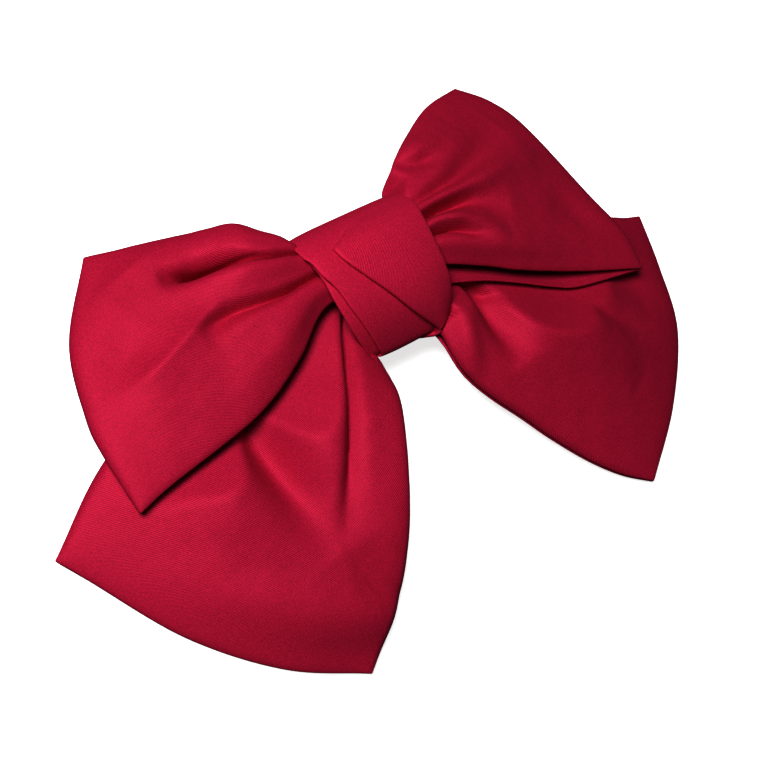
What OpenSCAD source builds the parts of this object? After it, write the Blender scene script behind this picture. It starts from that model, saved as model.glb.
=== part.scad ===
// Satin hair bow on a sprung bar barrette, lying on the barrette with its front up.
// X runs along the barrette, +Y is the top of the bow as worn, +Z points out of its front.
// The origin is on the surface that it lies on, under the middle of its outline.

/* [Upper bow] */
// Half the height of the upper bow where the knot pinches it
upper_pinch_half = 14.6; // [12:0.1:15]
// Half its thickness in the pinch
upper_pinch_thick = 2.3; // [1.5:0.1:2.4]
// Half the puff of each loop between its layers
loop_puff = 1.7; // [1:0.1:2]
// Height of the soft crown along the middle of each loop
loop_crown = 3; // [0:0.5:4]

/* [Tails] */
// Half the height of the tails where the knot pinches them
tail_pinch_half = 11.2; // [9:0.1:11.5]
// Half their thickness in the pinch
tail_pinch_thick = 1.8; // [1.2:0.1:1.9]
// Half the thickness of a tail's two layers
tail_puff = 0.8; // [0.5:0.1:1]

/* [Folds] */
// Gathered folds across each band
folds = 5; // [3:1:7]
// Depth of those folds next to the knot
fold_depth = 1.2; // [0:0.1:1.5]

/* [Knot] */
// Half the knot's width along its upper edge
knot_top_half = 16.5; // [14:0.5:18]
// Half the knot's width along its lower edge
knot_low_half = 11.5; // [9:0.5:14]
// Thickness of the folded strip that wraps round
wrap_t = 1; // [0.6:0.1:1.2]

/* [Barrette] */
// Length of the base plate
clip_len = 80; // [76:1:90]
// Width of the base plate and of the clasp arm
clip_w = 10; // [9.6:0.1:10.6]
// Thickness of the base plate
plate_t = 0.7; // [0.5:0.05:0.8]
// Height of the base plate's underside at its crown
crown_z = 11.6; // [11.4:0.1:11.8]
// Rise of the base plate from its ends to its crown
arch_rise = 4.4; // [4:0.1:4.6]
// Thickness of the clasp arm
arm_t = 0.8; // [0.6:0.1:0.9]
// Radius of the hinge pin
pin_r = 0.8; // [0.7:0.05:0.9]
// Height of the leaf spring's underside at its middle
leaf_low_z = 5.3; // [5:0.1:5.6]
// Thickness of the leaf spring
leaf_t = 0.45; // [0.3:0.05:0.5]

/* [Hidden] */
$fn = 48;

// The barrette lies this far behind the middle of the outline
knot_y = 22.6;
// The knot sits a little below the middle of the barrette
knot_shift = -0.8;

satin = "crimson";
satin_shade = "firebrick";
steel = "silver";
thread = "darkred";

// The pinch of a band: half height, half thickness, height above the ground,
// half width along its upper edge, half width along its lower edge
upper_pinch = [upper_pinch_half, upper_pinch_thick, 20.2, 16, 11];
tail_pinch = [tail_pinch_half, tail_pinch_thick, 15.6, 15, 13.6];

// One side of a band: upper corner, lower corner, pull on the upper edge, pull on the lower edge,
// bulge of the end
left_loop = [[-59, 35, 10], [-78, -24, 12], [-36, 31, 21], [-38, -8, 20], [-9, 0]];
right_loop = [[59, 38, 10], [78, -31, 12], [30, 37, 21], [40, -12, 20], [8, 0]];
left_tail = [[-97, -23, 2.2], [-49, -80, 0.8], [-50, 1, 15], [-5, -45, 13], [-4, -3]];
right_tail = [[97, -17, 2.2], [49, -82, 0.8], [50, 3, 15], [6, -46, 13], [9, -4]];

// Grid of a band: steps from the pinch to each end, and steps across
along = 9;
across = 12;

arch_r = ((clip_len / 2) ^ 2 + arch_rise ^ 2) / (2 * arch_rise);
arch_steps = 720;           // flat steps that a whole turn of the arch would have
running = 0.05;             // radial gap between the pin and what it passes through

pin_x = -clip_len / 2 + 4;
pin_z = 2.6;
ear_r = 2.2;
ear_t = 0.7;
eye_r = 1.7;

latch_x = clip_len / 2 - 4; // middle of the latch
finger_len = 4.2;           // length of each latch finger along X
finger_t = 0.5;
finger_y = 3.1;             // outer face of a finger
window_y = 3.4;             // half the width of the arm's window
catch_z = 1.6;              // underside of the arm's raised end
web_t = 0.5;
web_gap = 0.03;

leaf_half = 29.3;           // half the distance between the leaf spring's tongues
leaf_w = 4.6;
leaf_sag = 3;

tack_x = 31.6;              // the sewing holes at each end of the base plate
tack_y = 2.8;
tack_r = 0.8;
thread_r = 0.25;

// ---------- Fabric bands ----------

// A curve from p to r that leans towards q
function lean(p, q, r, s) = (1 - s) ^ 2 * p + 2 * s * (1 - s) * q + s ^ 2 * r;

// Middle of a band at s from the pinch (0) to the end (1) and v from the lower edge (-1) to the upper (1)
function band_middle(pinch, crown, side, s, v) =
    let (dir = sign(side[0][0]),
         start_up = [dir * pinch[3], pinch[0], pinch[2]],
         start_low = [dir * pinch[4], -pinch[0], pinch[2]],
         up = lean(start_up, side[2], side[0], s),
         low = lean(start_low, side[3], side[1], s),
         bulge = side[4] * s ^ 2 * (1 - v ^ 2),
         rise = crown * sin(180 * s) ^ 2 * (1 - v ^ 2),
         ripple = fold_depth * 16 * s ^ 2 * (1 - s) ^ 2 * cos(180 * folds * v) * (1 - v ^ 4))
    (up * (1 + v) + low * (1 - v)) / 2 + [bulge[0], bulge[1], rise + ripple];

// Half the thickness there: a lens that thins towards both edges
function band_half(pinch, puff, s, v) =
    (pinch[1] * (1 - s) ^ 2 + puff * s * (2 - s)) * (0.1 + 0.9 * sqrt(1 - v ^ 2));

// One closed ring of points across the band: the top from edge to edge, then the underside back
function band_ring(pinch, puff, crown, side, s) =
    let (steps = [for (j = [0:across]) -1 + 2 * j / across],
         tops = [for (v = steps)
             band_middle(pinch, crown, side, s, v) + [0, 0, band_half(pinch, puff, s, v)]],
         unders = [for (v = steps)
             band_middle(pinch, crown, side, s, -v) - [0, 0, band_half(pinch, puff, s, -v)]])
    concat(tops, unders);

// A whole band: from the left end, through the pinch, to the right end
module fabric_band(pinch, puff, crown, left, right) {
    rings = concat([for (i = [along:-1:0]) band_ring(pinch, puff, crown, left, i / along)],
                   [for (i = [0:along]) band_ring(pinch, puff, crown, right, i / along)]);
    n = len(rings[0]);
    last = len(rings) - 1;
    sides = [for (i = [0:last - 1], j = [0:n - 1])
        let (a = i * n + j, b = i * n + (j + 1) % n, c = b + n, d = a + n)
        each [[a, b, c], [a, c, d]]];
    caps = [for (j = [0:across - 1]) let (k = n - 1 - j, z = last * n)
        each [[j, k, k - 1], [j, k - 1, j + 1],
              [z + j, z + j + 1, z + k - 1], [z + j, z + k - 1, z + k]]];
    polyhedron([for (ring = rings) each ring], concat(sides, caps), convexity = 8);
}

module upper_bow() {
    color(satin) fabric_band(upper_pinch, loop_puff, loop_crown, left_loop, right_loop);
}

module tail_bow() {
    color(satin) fabric_band(tail_pinch, tail_puff, 0, left_tail, right_tail);
}

// ---------- Knot and threads ----------

// Cross-section round the pinched bands, in Y and Z: wide above, narrow below
module stack_outline(wide_y, wide_r, low_y, low_z, low_r) {
    translate([knot_shift, 0]) hull() {
        for (y = [-wide_y, wide_y]) translate([y, 19]) circle(wide_r);
        for (y = [-low_y, low_y]) translate([y, low_z]) circle(low_r);
    }
}

// Stands a drawing of Y and Z upright and gives it a width along X
module across_x(width) {
    translate([-width / 2, 0, 0]) rotate([90, 0, 90]) linear_extrude(width) children();
}

// The strip wraps round both bands and the base plate, and is narrower along its lower edge
module knot_wrap() {
    reach = 20;
    color(satin_shade) intersection() {
        across_x(2 * knot_top_half + 2) difference() {
            stack_outline(12.2, 4.4 + wrap_t, 5.6, 11.5, 1 + wrap_t);
            stack_outline(12.2, 4.4, 5.6, 11.5, 1);
        }
        linear_extrude(40) polygon([[-knot_low_half, -reach], [knot_low_half, -reach],
                                    [knot_top_half, reach], [-knot_top_half, reach]]);
    }
}

// Eight-sided loop round both pinches, in Y and Z, grown by more
module thread_loop(more) {
    side = 14.85 + more;
    low_side = 9 + more;
    top = 22.9 + more;
    bottom = 13.5 - more;
    polygon([[-9, top], [9, top], [side, 21], [side, 18.4], [low_side, bottom],
             [-low_side, bottom], [-side, 18.4], [-side, 21]]);
}

// Turns of thread that gather both bands inside the knot
module gather_thread() {
    turns = 6;
    color(thread) for (i = [0:turns - 1])
        translate([(i - (turns - 1) / 2) * 0.9, 0, 0]) across_x(0.4) difference() {
            thread_loop(0.3);
            thread_loop(0);
        }
}

// Whip stitches that close the end of the wrap under the base plate
module knot_stitches() {
    stitch = 2.2;
    color(thread) for (x = [-7:3.5:7])
        translate([x, 4, 11.5 - 1 - wrap_t]) rotate([90, 0, 20])
            cylinder(r = thread_r, h = stitch, center = true);
}

// ---------- Barrette ----------

// Puts its children on the arch at distance x, with z = 0 at the base plate's underside
module on_arch(x) {
    translate([0, 0, crown_z - arch_r]) rotate([0, asin(x / arch_r), 0])
        translate([0, 0, arch_r]) children();
}

// A strip that follows the arch, from below to above the base plate's underside
module arched_strip(x0, x1, width, below, above) {
    a0 = asin(x0 / arch_r);
    a1 = asin(x1 / arch_r);
    translate([0, 0, crown_z - arch_r]) rotate([90, 0, 0])
        rotate([0, 0, 90 - a1]) rotate_extrude(angle = a1 - a0, $fn = arch_steps)
            translate([arch_r - below, -width / 2]) square([below + above, width]);
}

// Plan of the base plate, with cut corners
module plate_plan(length, width, corner) {
    x = length / 2;
    y = width / 2;
    polygon([[x - corner, -y], [x, corner - y], [x, y - corner], [x - corner, y],
             [corner - x, y], [-x, y - corner], [-x, corner - y], [corner - x, -y]]);
}

module hinge_ear(y) {
    top = crown_z - arch_rise + 1;
    translate([0, y + ear_t / 2, 0]) rotate([90, 0, 0]) linear_extrude(ear_t) {
        translate([pin_x, pin_z]) circle(ear_r);
        translate([pin_x - ear_r, pin_z]) square([2 * ear_r, top - pin_z]);
    }
}

module base_plate() {
    color(steel) difference() {
        union() {
            intersection() {
                arched_strip(-clip_len / 2, clip_len / 2, clip_w, 0, plate_t);
                linear_extrude(20) plate_plan(clip_len - 0.4, clip_w, 1.6);
            }
            for (y = [-1, 1]) hinge_ear(y * (clip_w - ear_t) / 2);
        }
        translate([pin_x, 0, pin_z]) rotate([90, 0, 0])
            cylinder(r = pin_r + running, h = clip_w + 2, center = true);
        for (x = [-tack_x, tack_x], y = [-tack_y, tack_y])
            on_arch(x) translate([0, y, -1]) cylinder(r = tack_r, h = 3);
        for (x = [-1, 1]) translate([x * (leaf_half - leaf_t / 2), 0, crown_z - 2])
            cube([0.9, 4.4, 4], center = true);
        on_arch(latch_x) translate([0, 0, -1]) cylinder(r = 1.05, h = 3);
    }
}

// Felt between the base plate and the fabric
module backing_pad() {
    color(satin_shade) arched_strip(-27.5, 27.5, 9, -plate_t, plate_t + 0.65);
}

// Thread through the sewing holes, up into the bands
module tack_stitches() {
    fabric_z = 14;
    color(thread) for (x = [-tack_x, tack_x]) {
        under = crown_z - x ^ 2 / (2 * arch_r) - 0.4;
        for (y = [-tack_y, tack_y])
            translate([x, y, under]) cylinder(r = thread_r, h = fabric_z - under);
        translate([x, 0, under]) rotate([90, 0, 0])
            cylinder(r = thread_r, h = 2 * tack_y, center = true);
    }
}

// Bowed leaf that presses the hair down on the arm; its tongues stand in the base plate's slots
module tension_spring() {
    leaf_r = (leaf_half ^ 2 + leaf_sag ^ 2) / (2 * leaf_sag);
    spread = asin(leaf_half / leaf_r);
    tongue_z = crown_z - leaf_half ^ 2 / (2 * arch_r) + plate_t + 0.25;
    end_z = leaf_low_z + leaf_sag;
    color(steel) {
        translate([0, 0, leaf_low_z + leaf_r]) rotate([90, 0, 0]) rotate([0, 0, 270 - spread])
            rotate_extrude(angle = 2 * spread, $fn = arch_steps)
                translate([leaf_r - leaf_t, -leaf_w / 2]) square([leaf_t, leaf_w]);
        for (x = [-1, 1]) translate([x * (leaf_half - leaf_t / 2), 0, (end_z + tongue_z) / 2])
            cube([leaf_t, 3.8, tongue_z - end_z], center = true);
    }
}

// Bend of the latch spring, riveted under the end of the base plate
module latch_web() {
    color(steel) difference() {
        arched_strip(latch_x - finger_len / 2, latch_x + finger_len / 2, 2 * finger_y,
                     web_gap + web_t, -web_gap);
        on_arch(latch_x) translate([0, 0, -2]) cylinder(r = 1.05, h = 3);
    }
}

module latch_rivet() {
    color(steel) on_arch(latch_x) {
        low = web_gap + web_t + 0.02;
        translate([0, 0, -low]) cylinder(r = 1, h = low + plate_t);
        translate([0, 0, plate_t]) cylinder(r1 = 1.8, r2 = 1.2, h = 0.5);
        translate([0, 0, -low - 0.4]) cylinder(r1 = 1.1, r2 = 1.5, h = 0.4);
    }
}

// One leg of the latch spring, on the side that dir points to: a barb under the arm's rim and a squeeze tab
module latch_finger(dir) {
    foot = 0.4;
    barb_top = catch_z - 0.1;
    barb = 0.8;
    tab_r = 1.5;
    tab_z = 4.8;
    root = arch_r - web_gap - web_t - 0.12;
    mirror([0, dir < 0 ? 1 : 0, 0]) intersection() {
        union() {
            translate([latch_x - finger_len / 2, finger_y - finger_t, foot])
                cube([finger_len, finger_t, 9 - foot]);
            translate([latch_x + finger_len / 2 - 0.5, 0, 0]) rotate([90, 0, 90])
                translate([0, 0, 1 - finger_len]) linear_extrude(finger_len - 1)
                    polygon([[finger_y - finger_t, foot], [finger_y, foot],
                             [finger_y + barb, barb_top - 0.2], [finger_y + barb, barb_top],
                             [finger_y - finger_t, barb_top]]);
            translate([0, finger_y, 0]) rotate([90, 0, 0]) linear_extrude(finger_t) {
                translate([latch_x + finger_len / 2 + 2, tab_z]) circle(tab_r);
                translate([latch_x, tab_z - tab_r]) square([finger_len / 2 + 2, 2 * tab_r]);
            }
        }
        translate([0, 20, crown_z - arch_r]) rotate([90, 0, 0])
            cylinder(r = root, h = 40, $fn = arch_steps);
    }
}

module latch_finger_front() {
    color(steel) latch_finger(-1);
}

module latch_finger_rear() {
    color(steel) latch_finger(1);
}

// Side view of the arm, in X and Z: flat on the surface, lifted at the hinge and at the catch
module arm_side() {
    end_x = clip_len / 2 - 0.5;
    polygon([[pin_x + 0.6, 1.1], [pin_x + 5, 0], [latch_x - 8, 0], [latch_x - 5, catch_z],
             [end_x, catch_z], [end_x, catch_z + arm_t], [latch_x - 5.3, catch_z + arm_t],
             [latch_x - 8.3, arm_t], [pin_x + 5.2, arm_t], [pin_x + 1.2, 2.2]]);
    translate([pin_x, pin_z]) circle(eye_r);
}

// Two rails with a long slot between them, and a window that the latch fingers stand in
module arm_plan() {
    end_x = clip_len / 2 - 0.5;
    neck = clip_w / 2 - ear_t - 0.15;
    difference() {
        union() {
            translate([pin_x + 4.5, -clip_w / 2]) square([end_x - 2 - pin_x - 4.5, clip_w]);
            translate([pin_x + 4.5, 2 - clip_w / 2]) square([end_x - pin_x - 4.5, clip_w - 4]);
            for (y = [-1, 1]) translate([end_x - 2, y * (clip_w / 2 - 2)]) circle(2);
            translate([pin_x - eye_r - 1, -neck]) square([eye_r + 6, 2 * neck]);
        }
        translate([latch_x - 3, -window_y]) square([5.8, 2 * window_y]);
        translate([-25, -2.2]) square([48, 4.4]);
        for (x = [-25, 23]) translate([x, 0]) circle(2.2);
    }
}

module clasp_arm() {
    color(steel) difference() {
        intersection() {
            translate([0, clip_w / 2, 0]) rotate([90, 0, 0]) linear_extrude(clip_w) arm_side();
            translate([0, 0, -1]) linear_extrude(8) arm_plan();
        }
        translate([pin_x, 0, pin_z]) rotate([90, 0, 0])
            cylinder(r = pin_r + running, h = clip_w + 2, center = true);
    }
}

module hinge_pin() {
    half = clip_w / 2 + running;
    color(steel) translate([pin_x, 0, pin_z]) rotate([90, 0, 0]) {
        cylinder(r = pin_r, h = 2 * half, center = true);
        translate([0, 0, half]) cylinder(r1 = 1.5, r2 = 1, h = 0.5);
        translate([0, 0, -half - 0.5]) cylinder(r1 = 1, r2 = 1.5, h = 0.5);
    }
}

// ---------- Nodes ----------

module place() {
    translate([0, knot_y, 0]) children();
}

place() upper_bow();
place() tail_bow();
place() knot_wrap();
place() gather_thread();
place() knot_stitches();
place() backing_pad();
place() tack_stitches();
place() base_plate();
place() tension_spring();
place() latch_web();
place() latch_rivet();
place() latch_finger_front();
place() latch_finger_rear();
place() clasp_arm();
place() hinge_pin();
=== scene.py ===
"""A satin hair bow on a snap barrette, lying face up.

Lengths are in millimetres, and places are measured from the knot, until mesh_object() and
make_camera() hand them to Blender in metres. The room and the light are given in metres.
"""

import math

import bpy
import numpy as np
from mathutils import Matrix, Vector


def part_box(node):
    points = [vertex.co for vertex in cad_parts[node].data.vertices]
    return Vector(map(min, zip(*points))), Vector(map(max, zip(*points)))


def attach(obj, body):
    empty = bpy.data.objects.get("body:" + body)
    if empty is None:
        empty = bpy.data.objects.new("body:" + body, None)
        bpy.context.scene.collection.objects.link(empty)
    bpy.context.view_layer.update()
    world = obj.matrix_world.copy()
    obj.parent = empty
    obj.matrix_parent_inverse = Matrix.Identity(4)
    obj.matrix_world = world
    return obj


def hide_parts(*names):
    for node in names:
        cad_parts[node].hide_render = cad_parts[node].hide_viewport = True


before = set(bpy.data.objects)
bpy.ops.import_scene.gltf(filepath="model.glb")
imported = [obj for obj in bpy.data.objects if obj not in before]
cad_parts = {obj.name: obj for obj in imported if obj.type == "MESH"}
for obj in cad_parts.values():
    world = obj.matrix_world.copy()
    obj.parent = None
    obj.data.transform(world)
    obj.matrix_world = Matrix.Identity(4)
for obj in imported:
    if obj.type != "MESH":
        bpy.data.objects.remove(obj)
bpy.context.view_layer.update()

MM = 0.001
KNOT = np.array([0.0, 22.6, 0.0])  # where the knot's own origin is in the frame

# ---------------------------------------------------------------- camera

# The photograph's viewing angle: degrees, and millimetres for the distance, target and lens.
CAMERA_AZIMUTH = -77.7
CAMERA_ELEVATION = 61.4
CAMERA_ROLL = 47.1
CAMERA_DISTANCE = 268.6
CAMERA_TARGET = np.array([-10.9, -23.1, 12.0]) + KNOT
CAMERA_LENS = 52.1
SENSOR_WIDTH = 36.0


def make_camera():
    a = math.radians(CAMERA_AZIMUTH)
    e = math.radians(CAMERA_ELEVATION)
    roll = math.radians(CAMERA_ROLL)
    back = Vector((math.sin(a) * math.cos(e), -math.cos(a) * math.cos(e), math.sin(e)))
    right = Vector((math.cos(a), math.sin(a), 0.0))
    up = back.cross(right)
    turned_right = right * math.cos(roll) + up * math.sin(roll)
    turned_up = up * math.cos(roll) - right * math.sin(roll)
    data = bpy.data.cameras.new("camera")
    data.lens = CAMERA_LENS
    data.sensor_width = SENSOR_WIDTH
    data.clip_start = 0.01
    camera = bpy.data.objects.new("camera", data)
    bpy.context.scene.collection.objects.link(camera)
    place = Vector(CAMERA_TARGET * MM) + back * (CAMERA_DISTANCE * MM)
    turn = Matrix((turned_right, turned_up, back)).transposed().to_4x4()
    camera.matrix_world = Matrix.Translation(place) @ turn
    bpy.context.scene.camera = camera


# ---------------------------------------------------------------- curves and grids

PATH_STEPS = 48             # points along a fold's path
EDGE_STEPS = 200            # points along an edge of a patch


def smooth(points, count):
    """A Catmull-Rom curve through points, with count points evenly spaced along it."""
    p = np.array(points, float)
    first = 2 * p[0] - p[1]
    last = 2 * p[-1] - p[-2]
    p = np.vstack([first, p, last])
    t = np.linspace(0, 1, 16, endpoint=False)[:, None]
    runs = []
    for a, b, c, d in zip(p[:-3], p[1:-2], p[2:-1], p[3:]):
        runs.append(0.5 * (2 * b + (c - a) * t + (2 * a - 5 * b + 4 * c - d) * t**2
                           + (3 * b - a - 3 * c + d) * t**3))
    line = np.vstack(runs + [p[-2:-1]])
    return even(line, count)


def even(line, count):
    """count points along a line, evenly spaced."""
    steps = np.linalg.norm(np.diff(line[:, :3], axis=0), axis=1)
    length = np.concatenate([[0], np.cumsum(steps)])
    at = length[-1] * np.linspace(0, 1, count)
    return np.stack([np.interp(at, length, line[:, k]) for k in range(line.shape[1])], axis=1)


def patch(upper, lower, start, end, s, v):
    """A Coons patch. s runs from start to end, v from lower to upper, and the curves meet."""
    s = s[:, None, None]
    v = v[None, :, None]

    def along(points, t):
        line = smooth(points, EDGE_STEPS)
        where = t.ravel() * (EDGE_STEPS - 1)
        return np.stack([np.interp(where, range(EDGE_STEPS), line[:, k]) for k in range(3)], axis=1)

    low = along(lower, s)[:, None]
    up = along(upper, s)[:, None]
    near = along(start, v)[None]
    far = along(end, v)[None]
    corners = ((1 - s) * (1 - v) * low[:1] + (1 - s) * v * up[:1]
               + s * (1 - v) * low[-1:] + s * v * up[-1:])
    return (1 - v) * low + v * up + (1 - s) * near + s * far - corners


def nearest(path, xy):
    """For each point: where on the path it is nearest, from 0 to 1, and its distance from there.

    The distance is above 0 on the path's +Y side."""
    a = path[:-1, :2]
    b = path[1:, :2]
    d = b - a
    rel = xy[:, None] - a[None]
    t = np.clip((rel * d).sum(2) / (d * d).sum(1), 0, 1)
    gap = np.linalg.norm(rel - t[..., None] * d, axis=2)
    k = gap.argmin(1)
    rows = np.arange(len(xy))
    side = d[k, 0] * rel[rows, k, 1] - d[k, 1] * rel[rows, k, 0]
    side *= np.sign(path[-1, 0] - path[0, 0])
    return (k + t[rows, k]) / len(a), gap[rows, k] * np.sign(side)


def beside(flat, path):
    """How points lie beside a path of (x, y, amount, width on its +Y side, width on the other).

    Gives the path's line, each point's place on it, the amount there, and the distance from
    the line as a share of the width."""
    line = smooth(path, PATH_STEPS)
    where, gap = nearest(line, flat[:, :2])
    at = where * (PATH_STEPS - 1)
    amount, up_width, down_width = (np.interp(at, range(PATH_STEPS), line[:, k]) for k in (2, 3, 4))
    width = np.where(gap > 0, up_width, down_width)
    return line, at, amount, gap / width


def fold(points, path, lift, power=2.0):
    """Raises or sinks a surface along a path. A power near 1 makes a sharp crest."""
    flat = points.reshape(-1, 3)
    line, at, height, away = beside(flat, path)
    flat += lift.reshape(-1, 3) * (height * np.exp(-(np.abs(away) ** power)))[:, None]


def drag(points, path):
    """Pulls a surface sideways across a path, towards -Y."""
    flat = points.reshape(-1, 3)
    line, at, move, away = beside(flat, path)
    ahead = np.gradient(line[:, :2], axis=0)
    ahead /= np.linalg.norm(ahead, axis=1)[:, None]
    across = np.stack([ahead[:, 1], -ahead[:, 0]], axis=1) * np.sign(line[-1, 0] - line[0, 0])
    push = across[np.rint(at).astype(int)] * (move * np.exp(-(away ** 2)))[:, None]
    flat[:, :2] += push


# ---------------------------------------------------------------- meshes

EDGE_TURNS = (45, 90, 135)  # degrees, the points on a strip's round edge


def mesh_object(name, points, faces, uvs=None):
    mesh = bpy.data.meshes.new(name)
    mesh.from_pydata([tuple(p) for p in (points + KNOT) * MM], [], faces)
    if uvs is not None:
        layer = mesh.uv_layers.new(name="cloth")
        loops = np.zeros(len(mesh.loops), np.int32)
        mesh.loops.foreach_get("vertex_index", loops)
        layer.data.foreach_set("uv", uvs[loops].ravel())
    mesh.shade_smooth()
    mesh.validate()
    obj = bpy.data.objects.new(name, mesh)
    bpy.context.scene.collection.objects.link(obj)
    return obj


def unit(vectors):
    return vectors / np.maximum(np.linalg.norm(vectors, axis=-1, keepdims=True), 1e-9)


def padded_section(grid, thickness):
    """Gives a closed strip its thickness, with round edges: each row becomes a closed section."""
    ahead = unit(np.roll(grid, -1, axis=0) - np.roll(grid, 1, axis=0))
    across = unit(np.gradient(grid, axis=1))
    normal = unit(np.cross(ahead, across))
    half = thickness / 2
    parts = [grid + normal * half]
    for column, way in ((-1, 1), (0, -1)):
        edge, up = grid[:, column], normal[:, column]
        outward = unit(np.cross(up, ahead[:, column])) * way
        outward *= np.sign((outward * across[:, column]).sum(1, keepdims=True)) * way
        for turn in np.radians(EDGE_TURNS):
            lean = math.cos(turn) * way
            parts.append((edge + half * (math.sin(turn) * outward + lean * up))[:, None])
        if way > 0:
            parts.append((grid - normal * half)[:, ::-1])
    return np.concatenate(parts, axis=1)


def cloth_uvs(rows, columns, spacing, thickness):
    """UVs in metres that run over a strip's face, round its edge, over its back and round again."""
    last = columns - 1
    corner = np.arange(1, 4) * thickness * math.pi / 8 / spacing
    flat = np.arange(columns)
    over = np.concatenate([flat, last + corner, last + corner[0] * 4 + flat, -corner[::-1]])
    u = np.repeat(np.arange(rows) * spacing, len(over))
    v = np.tile(over * spacing, rows)
    return np.stack([u, v], axis=1) * MM


def ring_mesh(name, grids, spacing, thickness):
    """Closed strips in one mesh. A grid's rows follow each other round, its columns run across."""
    points = []
    faces = []
    uvs = []
    first = 0
    for grid in grids:
        solid = padded_section(grid, thickness)
        rows, count = solid.shape[:2]
        for i in range(rows):
            for j in range(count):
                a = first + i * count
                b = first + ((i + 1) % rows) * count
                k = (j + 1) % count
                faces.append((a + j, a + k, b + k, b + j))
        points.append(solid.reshape(-1, 3))
        uvs.append(cloth_uvs(rows, grid.shape[1], spacing, thickness))
        first += rows * count
    return mesh_object(name, np.vstack(points), faces, np.vstack(uvs))


# ---------------------------------------------------------------- the four loops

# Each loop has a front and a back layer, open along both long edges and folded over at the end.
# upper, lower, start and end are the front's edges as (x, y, z); back_lower is the back's lower
# edge, where it isn't the front's. puff and sag say how far front and back swell in the middle,
# fold_radius how far they stand off their middle. A high end_power keeps them apart up to the
# end fold, and a low edge_power up to the long edges.
# folds, creases and drags are paths over the front of (x, y, amount, width on the path's +Y
# side, width on its other side). folds have a round crest and creases a sharp one.
LEFT_LOOP = dict(
    upper=[(-9, 14, 20.5), (-16, 15.5, 20.5), (-21.5, 19.5, 20), (-26, 25, 18.5), (-32, 27.5, 15.5),
           (-38, 29.5, 13), (-58.5, 35, 10)],
    lower=[(-8, -4, 19.5), (-14, -2, 20), (-20, -3.5, 19.5), (-30, -10.5, 18), (-45, -17, 16),
           (-69, -21, 13), (-77.6, -23, 12)],
    start=[(-8, -4, 19.5), (-9, 5, 20.5), (-9, 14, 20.5)],
    end=[(-77.6, -23, 12), (-78, -8.5, 11.5), (-77, 1, 11), (-71.5, 18, 10), (-58.5, 35, 10)],
    back_lower=[(-8, -4, 17.5), (-14, -1.2, 17.5), (-20, -2.2, 17), (-30, -8.8, 15.5),
                (-45, -15.8, 13.7), (-58, -18.2, 12.8), (-69, -20.4, 11.9), (-77.6, -23, 12)],
    puff=2.2, fold_radius=1.8, sag=1.5, end_power=40, edge_power=0.5,
    folds=[
        # the roll along the upper edge
        [(-14, 13.5, 1.2, 4, 4), (-24, 18.5, 2, 5, 8), (-33, 23.5, 2.2, 5, 9), (-43, 27, 1.4, 5, 9),
         (-55, 30, 0, 5, 8)],
        # the deep hollow under that roll
        [(-13, 10.4, -2, 0.8, 0.8), (-19, 12.2, -2.4, 0.8, 0.8), (-24.4, 13.6, -2.4, 1, 0.9),
         (-28, 15.2, -3.4, 1.6, 1), (-32, 17, -7.4, 2.4, 1.3), (-36, 18.2, -11, 3, 1.5),
         (-40, 19, -9.6, 3, 1.7), (-44, 20, -4.2, 2.6, 2), (-48.5, 21.2, 0, 2.4, 2.4)],
        # the ridge below the hollow
        [(-14, 8.4, 0.8, 1.4, 2), (-25, 11, 1.2, 2, 3), (-34, 13.6, 1.4, 2, 4),
         (-43, 16, 0.9, 3, 6), (-55, 19, 0, 4, 6)],
        # the narrow valley below the ridge
        [(-13, 5.2, -1.8, 0.9, 0.9), (-20, 4.6, -2.8, 1, 1), (-27, 4.4, -3, 1.2, 1.3),
         (-33, 5.2, -3, 1.5, 1.6), (-38, 6, -3.2, 1.6, 2), (-43, 5.8, -2.2, 1.8, 2.6),
         (-48, 5, 0, 2, 3)],
        # the roll along the lower edge
        [(-14, 1.5, 1.2, 2, 2), (-22, 0, 1.4, 4, 2.5), (-34, -7, 1, 5, 4), (-50, -13, 0, 5, 5)],
        # a shallow dip near the end fold
        [(-56, 14, 0, 7, 7), (-63, 10, -0.9, 7, 6), (-70, 6, -0.9, 7, 6), (-76, 3, 0, 6, 6)],
    ],
    creases=[
        # from the hollow to the middle of the end fold
        [(-38, 9, 0, 3, 3), (-43, 8.4, 1.2, 3.2, 3), (-48, 6.6, 2.2, 3.6, 4),
         (-53, 4.6, 2.5, 3.6, 5), (-59, 2.6, 2.4, 3.6, 6), (-64.5, 1.6, 1.8, 3.8, 7),
         (-70, 1.4, 1, 4, 7), (-78, 2, 0, 5, 7)],
        # below the upper edge, to the end fold
        [(-36, 29, 0.2, 3, 5), (-46, 28, 1.1, 4, 6), (-61, 24.5, 1.8, 4, 7), (-71, 18.5, 1.4, 4, 7),
         (-78, 12, 0, 4, 7)],
    ],
    drags=[
        # the upper roll leans over the hollow
        [(-22, 14.8, 0, 2, 1), (-30, 18.8, 1.2, 3, 1), (-36, 21.4, 2, 3, 1.2),
         (-40.5, 22.6, 1.4, 3, 2), (-46.5, 24, 0, 4, 2)],
    ],
)

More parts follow.
